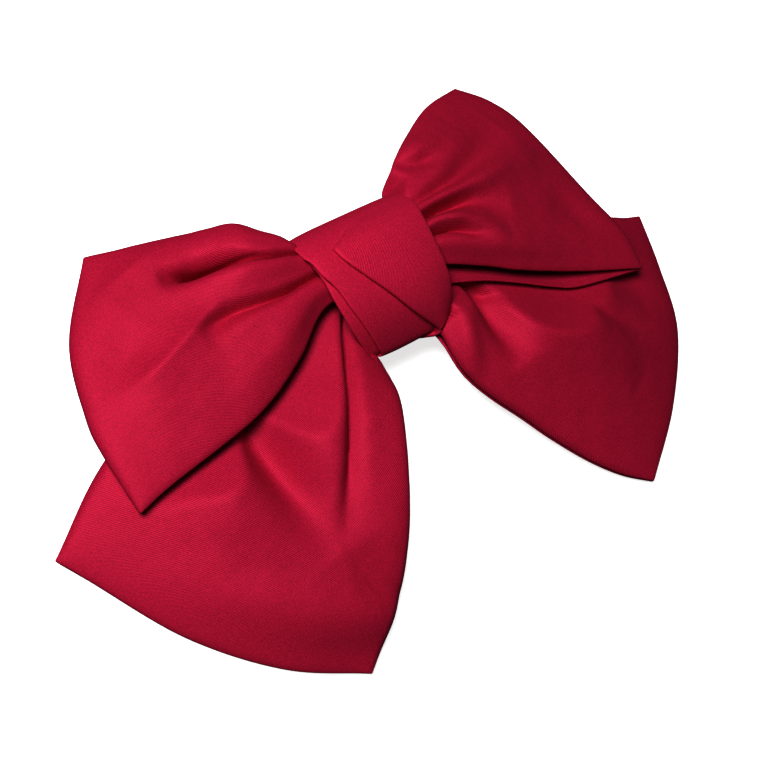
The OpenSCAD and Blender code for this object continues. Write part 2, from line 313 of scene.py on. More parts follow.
RIGHT_LOOP = dict(
    upper=[(9, 14, 18.8), (15.5, 15.5, 18.8), (18.8, 19.9, 18.6), (24.2, 24.5, 17.6),
           (31.5, 29, 16), (45, 35.6, 13), (59.5, 38.7, 10)],
    lower=[(8, -4, 19.5), (15.5, -5, 20), (30, -11.3, 18), (39, -16, 17), (57, -23.2, 14),
           (78.6, -31, 12)],
    start=[(8, -4, 19.5), (9, 5, 20.5), (9, 14, 18.8)],
    end=[(78.6, -31, 12), (80, -20, 12), (77, -5, 11.3), (72, 20, 10.8), (67, 31, 10.4),
         (59.5, 38.7, 10)],
    back_lower=[(8, -8, 17.5), (16.5, -10, 17.5), (29, -14, 16), (39, -18.6, 14.5),
                (48.6, -23.5, 13), (57, -27, 12.4), (78.6, -31, 12)],
    puff=2.6, fold_radius=1.8, sag=1.5, end_power=40, edge_power=0.5,
    folds=[
        # the broad valley below the upper edge
        [(14, 10.4, -0.6, 1.5, 1.5), (21.4, 10.6, -1.6, 1.8, 1.6), (28.4, 11.4, -2.6, 2.4, 1.8),
         (35.4, 12.4, -2.8, 3.2, 2.4), (44.7, 15.4, -2.4, 4.5, 3.6), (53.7, 18.8, -1.4, 5, 5),
         (61, 22.2, 0, 6, 6)],
        # the long ridge below it
        [(16, 8.9, 0.8, 1, 1.2), (24.5, 9.3, 1.8, 1.4, 1.5), (32.5, 9.2, 2, 2, 2),
         (41.4, 9.6, 1.8, 3, 3), (50.7, 10.9, 1.6, 4, 4), (65, 10.6, 0.8, 5, 5),
         (72, 10.4, 0, 5, 5)],
        # the hollow beside the knot
        [(14, 6.2, -2, 1.2, 1.2), (21.8, 6.7, -4.4, 1.6, 1.5), (27.9, 6.4, -4.8, 2, 1.8),
         (32.7, 5.8, -3.8, 2.6, 2.2), (37.1, 4.4, -2.4, 3.4, 3), (45, -1, 0, 5, 5)],
        # the small mound below the hollow
        [(14, 3.6, 0.8, 1.2, 1), (20.2, 3.8, 2.2, 1.6, 1.2), (24.8, 2.6, 2.8, 2, 1.4),
         (28.8, 0.8, 2.4, 2.4, 1.8), (33, -2.4, 1.6, 3, 2.4), (39.5, -7.2, 0, 4, 4)],
        # the thin line below the mound
        [(14, 1.8, -1.6, 0.7, 0.8), (19.9, 1.4, -2, 0.7, 0.9), (24.5, 0.2, -1.8, 0.8, 1.1),
         (29.5, -2.8, -1, 1.4, 1.6), (35, -6, 0, 2, 2)],
        # the roll along the lower edge
        [(14, -1, 1.2, 1.6, 2), (20, -2, 2, 2, 2.6), (30, -6.6, 2.2, 3.4, 3), (45, -13, 1.4, 5, 3),
         (60, -20, 0.4, 6, 4), (70, -25, 0, 6, 4)],
        # the lobe at the upper edge
        [(24, 22.5, 0, 3, 3), (30, 24.6, 1.5, 4, 2.6), (36, 25.4, 1.2, 5, 3.5), (46, 29, 0, 5, 5)],
        # the dip below the lobe
        [(21, 23, 0, 2, 2), (25.7, 21.4, -1.4, 2, 2.2), (30, 20.4, -1.6, 2.2, 2.4),
         (35, 21, -0.7, 2.6, 2.6), (41, 23.5, 0, 3, 3)],
        # a dip before the lower corner
        [(60, -2, 0, 6, 6), (66, -8, -1, 5, 5), (74, -16, -0.6, 4, 4), (79, -24, 0, 4, 4)],
    ],
)

LEFT_TAIL = dict(
    upper=[(-9, 6, 16), (-16, 6, 16), (-50, 1.5, 13), (-77, -8.7, 7), (-96.2, -22.4, 3)],
    lower=[(-6.5, -8, 13.2), (-8.8, -13, 12.2), (-9.1, -16.5, 11.8), (-9, -19.5, 11.9),
           (-9.4, -22.3, 12.1), (-9.8, -24.9, 12.4), (-10.9, -29.3, 13.1), (-14.2, -35.6, 13.6),
           (-19.6, -46, 12.5), (-25.2, -56.1, 10.8), (-31.6, -65.2, 8.4), (-37.6, -71.5, 5.8),
           (-48.5, -80.3, 3)],
    start=[(-6.5, -8, 13.2), (-8, -2, 15), (-9, 6, 16)],
    end=[(-48.5, -80.3, 3), (-65.4, -68.5, 3), (-80.6, -51, 3), (-92.3, -29.5, 3),
         (-96.2, -22.4, 3)],
    puff=1.6, fold_radius=4.4, sag=1.0, end_power=4, edge_power=0.3,
    folds=[
        # the slit beside the knot
        [(-8, -1, -1.4, 0.7, 1.2), (-13, -6.4, -2.4, 0.7, 2), (-19.4, -15, -3.6, 0.8, 3),
         (-25, -24, -4, 0.9, 3.4), (-31, -34.5, -3.4, 1.1, 3.6), (-36, -44, -2, 1.8, 4),
         (-41, -53, 0, 3, 5)],
        # the crest along the inner edge
        [(-8, -12, 0, 3, 3), (-10, -22, 0.8, 4.5, 3), (-14, -35, 1.8, 5.5, 4),
         (-21, -48, 2.2, 6.5, 5), (-30, -61, 1.2, 8, 6), (-39, -71, 0, 8, 6)],
        # the wide valley under the loop
        [(-43.6, 5.5, -5, 5, 9), (-45.3, -6, -7, 5, 9), (-46.5, -18, -8.8, 5.2, 9),
         (-46.2, -27, -8.6, 5.4, 8), (-45.3, -36, -6, 5.6, 7), (-44.5, -45, -2.8, 6, 7),
         (-44, -54, 0, 6, 7)],
        # the swell along the hem
        [(-88, -32, 0, 8, 6), (-76, -48, 1.8, 9, 6), (-63, -61, 3.6, 10, 6), (-50, -70, 4.2, 10, 6),
         (-41, -72, 3, 8, 6), (-34, -70, 0, 7, 6)],
        # the low ridge between slit and valley
        [(-22, -8, 0.3, 6, 4), (-31, -20, 0.6, 7, 6), (-37, -32, 0.7, 7, 7), (-41, -45, 0.4, 7, 8),
         (-46, -58, 0, 7, 8)],
        # the low ridge beyond the valley
        [(-56, -15, 0, 5, 4), (-58.5, -25, 1.2, 6, 4), (-60.5, -35, 1, 7, 5), (-64, -45, 0, 8, 8)],
    ],
    drags=[
        # the cloth beside the slit leans over it
        [(-13, -6.2, 0, 2, 1), (-19.2, -14.8, 0.9, 2, 0.9), (-24.8, -23.8, 1.2, 2, 0.9),
         (-30.8, -34.3, 0.9, 2, 1), (-36, -44, 0, 2, 2)],
    ],
)

RIGHT_TAIL = dict(
    upper=[(9, 4, 15.5), (15, 2, 15), (48, 1, 12), (75, -10, 7), (86.5, -14, 5), (91, -15.6, 4),
           (97, -17, 3)],
    lower=[(8, -12, 14.5), (9.9, -20.6, 14), (9.9, -26.2, 13), (11.1, -32.6, 11.5),
           (15.8, -41.2, 9.5), (21.2, -49.1, 7.8), (26.5, -57.4, 6), (34.1, -68.1, 4.4),
           (41.4, -76.1, 3.4), (48.8, -82, 3)],
    start=[(8, -12, 14.5), (9, -4, 15.2), (9, 4, 15.5)],
    end=[(48.8, -82, 3), (68.4, -68.2, 3), (85.1, -50.8, 3), (92.3, -33, 3), (97, -17, 3)],
    puff=3.0, fold_radius=3.8, sag=1.0, end_power=5, edge_power=0.4,
    folds=[
        # the ridge beside the inner edge
        [(17.6, -9, 0.4, 2, 2), (17.2, -14, 1.2, 2.6, 3), (15.6, -21, 2, 2.8, 3),
         (13.6, -28, 1.8, 2.8, 3), (12, -35, 0, 3, 3)],
        # the pit beside the knot
        [(21, -8, -2, 3, 2), (24.6, -14.5, -6, 5, 3), (25.6, -20.5, -7, 6, 3.4),
         (25.6, -27, -5, 7, 4), (26.4, -38, 0, 7, 5)],
        # a short valley that runs out of the pit
        [(24, -10, -2, 2, 2), (29, -16.4, -3, 2, 2.4), (36, -21, -1.6, 2, 3), (44, -24, 0, 3, 3)],
        # the long shallow valley
        [(42, -16, 0, 3, 3), (48, -22.6, -1, 2, 3), (54.5, -31, -1.6, 2.2, 3),
         (60, -37.5, -1.5, 2.6, 3.4), (68, -44.5, -0.8, 3, 4), (78, -51, 0, 4, 4)],
        # the mound below the loop
        [(32, -20, 0.4, 5, 5), (38, -30, 2.6, 8, 8), (47, -39, 3, 9, 8), (55, -48, 1.6, 9, 8),
         (60, -57, 0, 8, 8)],
        # the dip at the outer side
        [(62, -22, 0, 6, 6), (72, -28, -2, 7, 8), (80, -36, -2, 7, 8), (88, -46, 0, 7, 8)],
    ],
)

# ---------------------------------------------------------------- the knot's shape

# (y, z) round the knot, from the middle of its underside, and (y, x) along its edges.
KNOT_OUTLINE = [(0, 9.7), (-9, 10), (-15.8, 11.2), (-18.6, 13.8), (-16, 17.6), (-11, 21.8),
                (-5, 24.6), (3, 26), (9, 25), (13.5, 22.4), (16.4, 18.2), (14.5, 14.2), (9, 11)]
KNOT_CROWN = [(-20, 12.4)] + KNOT_OUTLINE[3:11] + [(18, 16)]
KNOT_LEFT = [(-20, -6.8), (-18.4, -7.6), (-16.7, -8.8), (-11.7, -11.2), (-6.3, -13.2),
             (-0.7, -14.5), (3.2, -16), (7.3, -16.6), (10.1, -17.4), (14, -17), (17, -15.6)]
UNDER_LEFT = [(-20, -8), (-19.3, -8.4), (-16.5, -11.2), (-12, -13.7), (-6.8, -15.2),
              (-2.3, -15.8), (1.2, -15.8), (4.8, -16), (9, -16), (17, -14)]
KNOT_RIGHT = [(-20, 8.4), (-18.2, 9.4), (-17.5, 12.4), (-14.2, 14.5), (-9.5, 15.2),
              (-3.3, 15.3), (3.6, 15.7), (10.6, 17.1), (17, 17.8)]

# ---------------------------------------------------------------- layers of the bands

ACROSS = 96                 # columns across a band
FRONT_ROWS = 110
BACK_ROWS = 44
CLOTH = 0.7                 # thickness of a pressed, doubled layer of satin
BAND_SPACING = 0.7          # distance between rows and columns that the twill is scaled to
BACK_IN = 1.2               # how far the back's upper edge is inside the front's
BACK_DOWN = 2               # and how far below it
CREASE_POWER = 1.2          # how sharp a crease's crest is
END_FADE = 5                # folds fade out over the last 1 / END_FADE of a loop
SAME_BAND_GAP = 1.0         # between the two layers of a loop
OTHER_BAND_GAP = 1.3        # between an upper loop and the tail behind it

KNOT_DEPTH = 2.4            # how far below the knot's crown a layer stays
EDGE_MARGIN = 0.2           # how far outside the knot's edge that still holds
RISE_BESIDE = 1.6           # how much higher it may be for each millimetre beyond that edge
RISE_BELOW = 3.5            # and for each millimetre below the knot
LEFT_FREE_Y = -17.4         # below this y the knot no longer covers a layer on its left,
RIGHT_FREE_Y = -18.4        # and on its right

CELL = 1.0                  # size of one square of a height map
MAP_CORNER = (-110, -95)
MAP_SIZE = (220, 170)
NO_LAYER = 99.0             # height where a map has no layer
PRESS_SLOPE = 0.5           # how fast a map rises away from its layer,
SPREAD_STEPS = 45           # and over how many squares
WIDEN_STEPS = 2             # squares by which its low places are then widened,
BLUR_STEPS = 6              # and how often it is smoothed
END_ROWS = 6                # rows of an end fold, which don't press on the layer below


def soft_step(over):
    """How far to lower something that is over a limit, easing in from a millimetre below it."""
    return np.where(over > 1, over, np.maximum(over + 1, 0) ** 2 / 4)


def tuck(grid):
    """Keeps a layer under the knot where the knot covers it."""
    x, y, z = np.moveaxis(grid, 2, 0)
    crown = np.interp(y, *np.array(KNOT_CROWN).T)
    left_edge = -np.interp(y, *np.array(UNDER_LEFT).T)
    right_edge = np.interp(y, *np.array(KNOT_RIGHT).T)
    edge = np.where(x < 0, left_edge, right_edge)
    free = np.where(x < 0, LEFT_FREE_Y, RIGHT_FREE_Y)
    beyond = np.maximum(0, np.abs(x) - edge - EDGE_MARGIN)
    room = crown - KNOT_DEPTH + RISE_BESIDE * beyond + RISE_BELOW * np.maximum(0, free - y)
    grid[..., 2] = z - soft_step(z - room)


def ceiling(grid):
    """A map of a layer's lowest heights, which rises by PRESS_SLOPE away from the layer."""
    height = np.full(MAP_SIZE, NO_LAYER)
    cell = ((grid[..., :2] - MAP_CORNER) / CELL).astype(int)
    np.minimum.at(height, (cell[..., 0], cell[..., 1]), grid[..., 2])
    ways = [(i, j) for i in (-1, 0, 1) for j in (-1, 0, 1)]
    for step in range(SPREAD_STEPS):
        rise = [PRESS_SLOPE * CELL * math.hypot(*way) for way in ways]
        height = np.min([np.roll(height, way, (0, 1)) + up for way, up in zip(ways, rise)], axis=0)
    for step in range(WIDEN_STEPS):
        height = np.min([np.roll(height, way, (0, 1)) for way in ways], axis=0)
    for step in range(BLUR_STEPS):
        height = np.mean([np.roll(height, way, (0, 1)) for way in ways], axis=0)
    return height


def press(grid, above, gap):
    """Lowers a layer wherever it would come nearer than gap to the layer above it."""
    height = ceiling(above[:-END_ROWS])
    at = (grid[..., :2] - MAP_CORNER) / CELL - 0.5
    cell = np.floor(at).astype(int)
    part = at - cell
    i, j = cell[..., 0], cell[..., 1]
    a, b = part[..., 0], part[..., 1]
    limit = ((1 - a) * (1 - b) * height[i, j] + a * (1 - b) * height[i + 1, j]
             + (1 - a) * b * height[i, j + 1] + a * b * height[i + 1, j + 1])
    grid[..., 2] -= soft_step(grid[..., 2] - limit + gap)


def unevenness(grid):
    """Shallow waves, under 0.1 mm high, that keep pressed cloth from looking like sheet metal."""
    x, y = grid[..., 0], grid[..., 1]
    return (0.07 * np.sin(0.42 * x + 0.21 * y + 1.0) * np.sin(0.17 * x - 0.46 * y)
            + 0.03 * np.sin(0.9 * x - 0.5 * y + 2.0) * np.sin(0.4 * x + 0.95 * y))


def back_edges(loop):
    """The back layer's upper, lower and start edges."""
    lower = loop.get("back_lower", loop["lower"])
    upper = [(x, y - BACK_IN, z - BACK_DOWN) for x, y, z in loop["upper"][:-1]]
    upper.append(loop["upper"][-1])
    middle = tuple(np.add(loop["start"][1], (0, 0, -BACK_DOWN)))
    return upper, lower, [lower[0], middle, upper[0]]


def add_folds(grid, loop, s):
    """Folds, creases, waves and drags of a front layer, which fade out before the end fold."""
    lift = np.zeros_like(grid)
    lift[..., 2] = np.sin(np.minimum(1, (1 - s) * END_FADE) * np.pi / 2) ** 2
    for path in loop["folds"]:
        fold(grid, path, lift)
    for path in loop.get("creases", []):
        fold(grid, path, lift, CREASE_POWER)
    grid[..., 2] += lift[..., 2] * unevenness(grid)
    for path in loop.get("drags", []):
        drag(grid, path)


def layer(loop, is_front):
    """The front or the back layer of a loop, from the knot to the end fold."""
    rows = FRONT_ROWS if is_front else BACK_ROWS
    way = 1 if is_front else -1
    swell = loop["puff"] if is_front else loop["sag"]
    edges = (loop["upper"], loop["lower"], loop["start"]) if is_front else back_edges(loop)
    v = np.linspace(0, 1, ACROSS)
    s = np.sin(np.linspace(0, 0.5, rows) * np.pi)
    grid = patch(*edges, loop["end"], s, v)
    s = s[:, None]
    arch = np.sin(np.pi * v)[None, :]
    apart = CLOTH / 2 + loop["fold_radius"] * arch ** loop["edge_power"]
    apart = np.sqrt(np.clip(1 - s ** loop["end_power"], 0, 1)) * apart
    middle = np.sin(np.pi * s) ** 1.5 * arch
    grid[..., 2] += way * (apart * np.minimum(1, 0.3 + 2 * s) + swell * middle)
    if is_front:
        add_folds(grid, loop, s)
        tuck(grid)
    return grid


def stack(loop, tail):
    """The four layers on one side of the knot, from the top down, each clear of the one above."""
    loop_front = layer(loop, True)
    loop_back = layer(loop, False)
    tail_front = layer(tail, True)
    tail_back = layer(tail, False)
    press(loop_back, loop_front, SAME_BAND_GAP)
    press(tail_front, loop_back, OTHER_BAND_GAP)
    press(tail_back, tail_front, SAME_BAND_GAP)
    tail_back[..., 2] = np.maximum(tail_back[..., 2], CLOTH)
    return loop_front, loop_back, tail_front, tail_back


def band(name, left_front, left_back, right_front, right_back):
    """One closed band: left front, right front, right back, left back."""
    grid = np.concatenate([left_front[::-1], right_front, right_back[-2::-1], left_back[:-1]])
    return ring_mesh(name, [grid], BAND_SPACING, CLOTH)


# ---------------------------------------------------------------- knot

WRAP_ROWS = 190
WRAP_COLUMNS = 84
WRAP_SPACING = 0.55         # distance between rows and columns that the twill is scaled to
INNER_DEPTH = 1.3           # how far the inner turn is inside the outer one
INNER_RIGHT_IN = 2          # and how far its right edge is inside the outer one's
UNDERSIDE_Z = 15            # below this height the strip narrows,
UNDERSIDE_BLEND = 5         # over this much height,
UNDERSIDE_HALF_WIDTH = 8.5  # to this half width
EDGE_DROP = 0.5             # how far the strip's edges turn down

# (y, x) along the flap's edge, and (y, how far the flap stands off there).
FLAP_EDGE = [(-18.4, 9.4), (-16.8, 7.2), (-12.2, 1.8), (-6.5, -2.9), (-1.1, -6.7), (4.5, -9.8),
             (10, -10.6)]
FLAP_HEIGHT = [(-14, 1.3), (6, 0.85)]
FLAP_WIDTH = 2.2            # how far the flap lies over the strip below it
FLAP_CROWN = 0.7            # how far its top bulges
FLAP_TOP_Y = 12.5           # the flap is gone above this y,
FLAP_TOP_BLEND = 5          # and whole this much below it;
FLAP_LOW_Z = 11             # it is gone below this height,
FLAP_LOW_BLEND = 3          # and whole this much above it
UNDER_SHARE = 0.42          # where across the strip it turns back under the flap,
OVER_SHARE = 0.54           # and where it turns over again at the flap's edge


def closed(points, count):
    """A smooth closed curve through points, with count points evenly spaced round it."""
    p = np.array(points, float)
    around = np.vstack([p[-3:], p, p[:4]])
    line = smooth(around, 40 * len(around))
    half = len(line) // 2
    away = np.linalg.norm(line - p[0], axis=1)
    first = np.argmin(away[:half])
    last = half + np.argmin(away[half:])
    return even(line[first:last + 1], count + 1)[:-1]


def outward_of(outline):
    """At each point of a closed curve, the direction straight out of it."""
    ahead = np.roll(outline, -1, axis=0) - np.roll(outline, 1, axis=0)
    ahead /= np.linalg.norm(ahead, axis=1)[:, None]
    outward = np.stack([-ahead[:, 1], ahead[:, 0]], axis=1)
    if (outward * (outline - outline.mean(0))).sum() < 0:
        outward = -outward
    return outward


def flap(across, y, edge_left, edge_right):
    """Across the pleat: under the flap, back to its edge, then over it to the right edge."""
    edge = np.interp(y, *smooth(FLAP_EDGE, 100).T)
    back = np.clip((across - UNDER_SHARE) / (OVER_SHARE - UNDER_SHARE), 0, 1)
    top = np.clip((across - OVER_SHARE) / (1 - OVER_SHARE), 0, 1)
    below = np.clip(across / UNDER_SHARE, 0, 1)
    first = edge_left + (edge + FLAP_WIDTH - edge_left) * below
    turn = edge + FLAP_WIDTH * (1 + np.cos(np.pi * back)) / 2
    x = np.where(across < UNDER_SHARE, first, turn)
    x = np.where(across > OVER_SHARE, edge + (edge_right - edge) * top, x)
    height = np.interp(y, *np.array(FLAP_HEIGHT).T) * back * (1 - 0.5 * top)
    return x, height + FLAP_CROWN * np.sin(np.pi * top)


def turn_of_wrap(left_edge, right_edge, shrink, pleated):
    """One turn of the strip round the waist: rows go round it, columns across."""
    outline = closed(KNOT_OUTLINE, WRAP_ROWS)
    outward = outward_of(outline)
    y, z = (outline - outward * shrink).T
    under = np.clip((UNDERSIDE_Z - z) / UNDERSIDE_BLEND, 0, 1)
    edge_left = np.interp(y, *smooth(left_edge, 100).T)
    edge_left = (edge_left * (1 - under) - UNDERSIDE_HALF_WIDTH * under)[:, None]
    edge_right = np.interp(y, *smooth(right_edge, 100).T)
    edge_right = (edge_right * (1 - under) + UNDERSIDE_HALF_WIDTH * under)[:, None]
    across = np.linspace(0, 1, WRAP_COLUMNS)[None, :]
    x = edge_left * (1 - across) + edge_right * across
    height = -EDGE_DROP * np.abs(2 * across - 1) ** 5 + 0 * x
    if pleated:
        share = np.clip((FLAP_TOP_Y - y) / FLAP_TOP_BLEND, 0, 1)
        share = (share * np.clip((z - FLAP_LOW_Z) / FLAP_LOW_BLEND, 0, 1))[:, None]
        folded_x, folded_height = flap(across, y[:, None], edge_left, edge_right)
        x += share * (folded_x - x)
        height += share * folded_height
    grid = np.stack([x, y[:, None] + 0 * x, z[:, None] + 0 * x], axis=2)
    grid[..., 1] += outward[:, :1] * height
    grid[..., 2] += outward[:, 1:] * height
    return grid


def knot_wrap():
    inner_right = [(y, x - INNER_RIGHT_IN) for y, x in KNOT_RIGHT]
    outer = turn_of_wrap(KNOT_LEFT, KNOT_RIGHT, 0.0, True)
    inner = turn_of_wrap(UNDER_LEFT, inner_right, INNER_DEPTH, False)
    return ring_mesh("knot_strip", [outer, inner], WRAP_SPACING, CLOTH)


# ---------------------------------------------------------------- threads and felt

THREAD = 0.22               # radius of the sewing thread,
GATHER_THREAD = 0.17        # and of the gathering thread
GATHER_DEPTH = 1.9          # how far the gathering thread is inside the wrap
GATHER_TURNS = 6
GATHER_PITCH = 0.9          # from one turn to the next
GATHER_SWAY = 0.25          # how far a turn strays sideways
WHIP_COUNT = 5              # stitches under the knot, WHIP_PITCH apart along the barrette
WHIP_PITCH = 3.5
WHIP_Y = 4                  # the middle of each
WHIP_Z = 9.75
TACK_X = 31.6               # where the sewing holes are
TACK_Y = 2.8
TACK_TOP = 13.4             # how far up the tacks reach into the bands
TACK_DROP = 0.35            # how far they hang below the base plate
TACK_CORNER = 0.5           # how far before a corner they start to turn
ARCH_RADIUS = 184.02        # of the base plate's underside
ARCH_CROWN = 11.6
PLATE = 0.7                 # thickness of the base plate
FELT = 0.65                 # and of the felt on it
TUBE_SIDES = 8


def tube(path, radius, is_closed):
    """Points and faces of a round tube along a path."""
    path = np.array(path, float)
    if is_closed:
        ahead = np.roll(path, -1, axis=0) - np.roll(path, 1, axis=0)
    else:
        ahead = np.gradient(path, axis=0)
    ahead /= np.linalg.norm(ahead, axis=1)[:, None]
    guide = np.array([1.0, 0.13, 0.07])  # a direction that no tube runs along
    side = np.cross(ahead, guide)
    side /= np.linalg.norm(side, axis=1)[:, None]
    other = np.cross(ahead, side)
    turn = np.arange(TUBE_SIDES) * 2 * np.pi / TUBE_SIDES
    points = (path[:, None] + radius * (np.cos(turn)[None, :, None] * side[:, None]
                                        + np.sin(turn)[None, :, None] * other[:, None]))
    count = len(path)
    faces = []
    for i in range(count if is_closed else count - 1):
        for j in range(TUBE_SIDES):
            a = i * TUBE_SIDES
            b = ((i + 1) % count) * TUBE_SIDES
            k = (j + 1) % TUBE_SIDES
            faces.append((a + j, a + k, b + k, b + j))
    if not is_closed:
        faces.append(tuple(range(TUBE_SIDES - 1, -1, -1)))
        faces.append(tuple((count - 1) * TUBE_SIDES + j for j in range(TUBE_SIDES)))
    return points.reshape(-1, 3), faces


def tubes(name, paths, radius, is_closed=False):
    """One mesh of several tubes."""
    points = []
    faces = []
    for path in paths:
        more, its_faces = tube(path, radius, is_closed)
        first = sum(len(p) for p in points)
        points.append(more)
        faces += [tuple(first + k for k in face) for face in its_faces]
    return mesh_object(name, np.vstack(points), faces)


def gather_thread():
    """Turns of thread that pinch both bands, inside the wrap."""
    outline = closed(KNOT_OUTLINE, 90)
    ring = outline - outward_of(outline) * GATHER_DEPTH
    around = np.linspace(0, 2 * np.pi, len(ring), endpoint=False)
    paths = []
    for turn in range(GATHER_TURNS):
        x = (turn - (GATHER_TURNS - 1) / 2) * GATHER_PITCH
        paths.append(np.column_stack([x + GATHER_SWAY * np.sin(around + turn), ring]))
    return tubes("gathering_thread", paths, GATHER_THREAD, True)


def knot_stitches():
    """Whip stitches that close the end of the wrap, under the base plate."""
    t = np.linspace(-1, 1, 9)
    drop = 0.35 * (1 - t**2)
    paths = []
    for k in range(WHIP_COUNT):
        x = WHIP_PITCH * k - WHIP_PITCH * (WHIP_COUNT - 1) / 2
        paths.append(np.column_stack([x + 0.35 * t, WHIP_Y + 1.1 * t, WHIP_Z + 0.12 * t - drop]))
    return tubes("wrap_stitches", paths, THREAD)


def plate_height(x):
    """Height of the base plate's underside at distance x along it."""
    return ARCH_CROWN - ARCH_RADIUS + math.sqrt(ARCH_RADIUS**2 - x**2)


def tack_stitches():
    """A stitch through each pair of sewing holes, up into the bands."""
    paths = []
    for x in (-TACK_X, TACK_X):
        under = plate_height(x) - TACK_DROP
        for shift in (-0.25, 0.25):
            corners = [(x + shift, -TACK_Y, TACK_TOP), (x, -TACK_Y, under + TACK_CORNER),
                       (x + shift, -TACK_Y + TACK_CORNER, under),
                       (x + shift, TACK_Y - TACK_CORNER, under),
                       (x, TACK_Y, under + TACK_CORNER), (x + shift, TACK_Y, TACK_TOP)]
            paths.append(smooth(corners, 40))
    return tubes("tacking_stitches", paths, THREAD)


def felt_points(half_x, half_y, rows, columns):
    """The felt's underside and then its face, row by row."""
    corner = 0.8                # how far its corners are cut in
    pressed = 0.55              # share of the thickness that is left at its edge,
    soft_width = 0.7            # and how far from the edge it is full again
    points = []
    for level in (0, 1):
        for x in np.linspace(-half_x, half_x, rows):
            for y in np.linspace(-half_y, half_y, columns):
                from_end = half_x - abs(x)
                from_side = half_y - abs(y)
                inset = max(0.0, corner - from_end - from_side)
                soft = min(1.0, pressed + min(from_end, from_side) / soft_width)
                rough = 0.03 * math.sin(7 * x + 3 * y) * math.sin(5 * y - 2 * x)
                lift = PLATE + level * (FELT * soft + rough)
                points.append((x, y * (1 - 0.12 * inset), plate_height(x) + lift))
    return np.array(points)


def backing_pad():
    """A felt strip on the base plate, with soft edges and a slightly uneven face."""
    low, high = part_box("backing_pad")
    half_x = (high.x - low.x) / 2 / MM
    half_y = (high.y - low.y) / 2 / MM
    rows, columns = 111, 19
    layer_size = rows * columns
    faces = []
    for i in range(rows - 1):
        for j in range(columns - 1):
            a = i * columns + j
            b = a + layer_size
            faces.append((a, a + columns, a + columns + 1, a + 1))
            faces.append((b, b + 1, b + columns + 1, b + columns))
    rim = [i * columns for i in range(rows)]
    rim += [(rows - 1) * columns + j for j in range(1, columns)]
    rim += [i * columns + columns - 1 for i in range(rows - 2, -1, -1)]
    rim += range(columns - 2, 0, -1)
    for a, b in zip(rim, rim[1:] + rim[:1]):
        faces.append((a, a + layer_size, b + layer_size, b))
    return mesh_object("felt_backing", felt_points(half_x, half_y, rows, columns), faces)


# ---------------------------------------------------------------- materials

CRIMSON = (0.66, 0.034, 0.112)
CRIMSON_SHADE = (0.38, 0.014, 0.056)
# The knot's two colours are the loop colours painted about a fifth lighter: a painted highlight for
# the stronger light and sheen on the knot.
LIT_WRAP_CRIMSON = (0.80, 0.044, 0.14)  # painted lighter than the loops, as the knot looks brighter: painted light on the same satin
LIT_WRAP_SHADE = (0.44, 0.018, 0.068)


def new_material(name):
    material = bpy.data.materials.new(name)
    material.use_nodes = True
    tree = material.node_tree
    return material, tree, tree.nodes["Principled BSDF"]


def set_inputs(node, values):
    for name, value in values.items():
        node.inputs[name].default_value = value


def noise(tree, scale, detail):
    """A noise over the piece's own coordinates, in metres."""
    coords = tree.nodes.new("ShaderNodeTexCoord")
    texture = tree.nodes.new("ShaderNodeTexNoise")
    set_inputs(texture, {"Scale": scale, "Detail": detail})
    tree.links.new(coords.outputs["Object"], texture.inputs["Vector"])
    return texture.outputs["Fac"]


def twill(tree):
    """Diagonal lines that follow the cloth's own UVs."""
    uv = tree.nodes.new("ShaderNodeUVMap")
    uv.uv_map = "cloth"
    lines = tree.nodes.new("ShaderNodeTexWave")
    lines.bands_direction = "DIAGONAL"
    set_inputs(lines, {"Scale": 1300.0, "Distortion": 1.5, "Detail": 1.0})
    tree.links.new(uv.outputs["UV"], lines.inputs["Vector"])
    return lines.outputs["Fac"]


def mixed(tree, first, second, share):
    """share of the second value and the rest of the first."""
    mix = tree.nodes.new("ShaderNodeMix")
    mix.data_type = "FLOAT"
    mix.inputs["Factor"].default_value = share
    tree.links.new(first, mix.inputs["A"])
    tree.links.new(second, mix.inputs["B"])
    return mix.outputs["Result"]


def blended(tree, value, low, dark, high, light):
    """The dark colour where value is under low, the light one where it is over high."""
    ramp = tree.nodes.new("ShaderNodeValToRGB")
    ends = ramp.color_ramp.elements
    ends[0].position = low
    ends[0].color = (*dark, 1)
    ends[1].position = high
    ends[1].color = (*light, 1)
    tree.links.new(value, ramp.inputs["Fac"])
    return ramp.outputs["Color"]


def between(tree, value, low, high):
    """Turns a value from 0 to 1 into one from low to high."""
    change = tree.nodes.new("ShaderNodeMapRange")
    set_inputs(change, {"To Min": low, "To Max": high})
    tree.links.new(value, change.inputs["Value"])
    return change.outputs["Result"]


def add_bump(tree, shader, height, strength, distance):
    bump = tree.nodes.new("ShaderNodeBump")
    set_inputs(bump, {"Strength": strength, "Distance": distance})
    tree.links.new(height, bump.inputs["Height"])
    tree.links.new(bump.outputs["Normal"], shader.inputs["Normal"])


def satin(name, colour, shade):
    """Twill with a fine grain, and a slow drift of brightness."""
    material, tree, shader = new_material(name)
    grain = noise(tree, 3600.0, 1.0)
    drift = noise(tree, 28.0, 2.0)
    weave = mixed(tree, twill(tree), grain, 0.65)
    vary = tree.nodes.new("ShaderNodeHueSaturation")
    tree.links.new(between(tree, drift, 0.95, 1.05), vary.inputs["Value"])
    tree.links.new(blended(tree, weave, 0.36, shade, 0.64, colour), vary.inputs["Color"])
    tree.links.new(vary.outputs["Color"], shader.inputs["Base Color"])
    tree.links.new(between(tree, grain, 0.50, 0.64), shader.inputs["Roughness"])
    add_bump(tree, shader, weave, 0.15, 0.00008)
    set_inputs(shader, {
        "Metallic": 0.08,
        "Sheen Weight": 0.03,
        "Sheen Roughness": 0.4,
        "Sheen Tint": (1.0, 0.25, 0.4, 1),
        "Specular IOR Level": 0.30,
        "Specular Tint": (1.0, 0.35, 0.50, 1),
    })
    return material


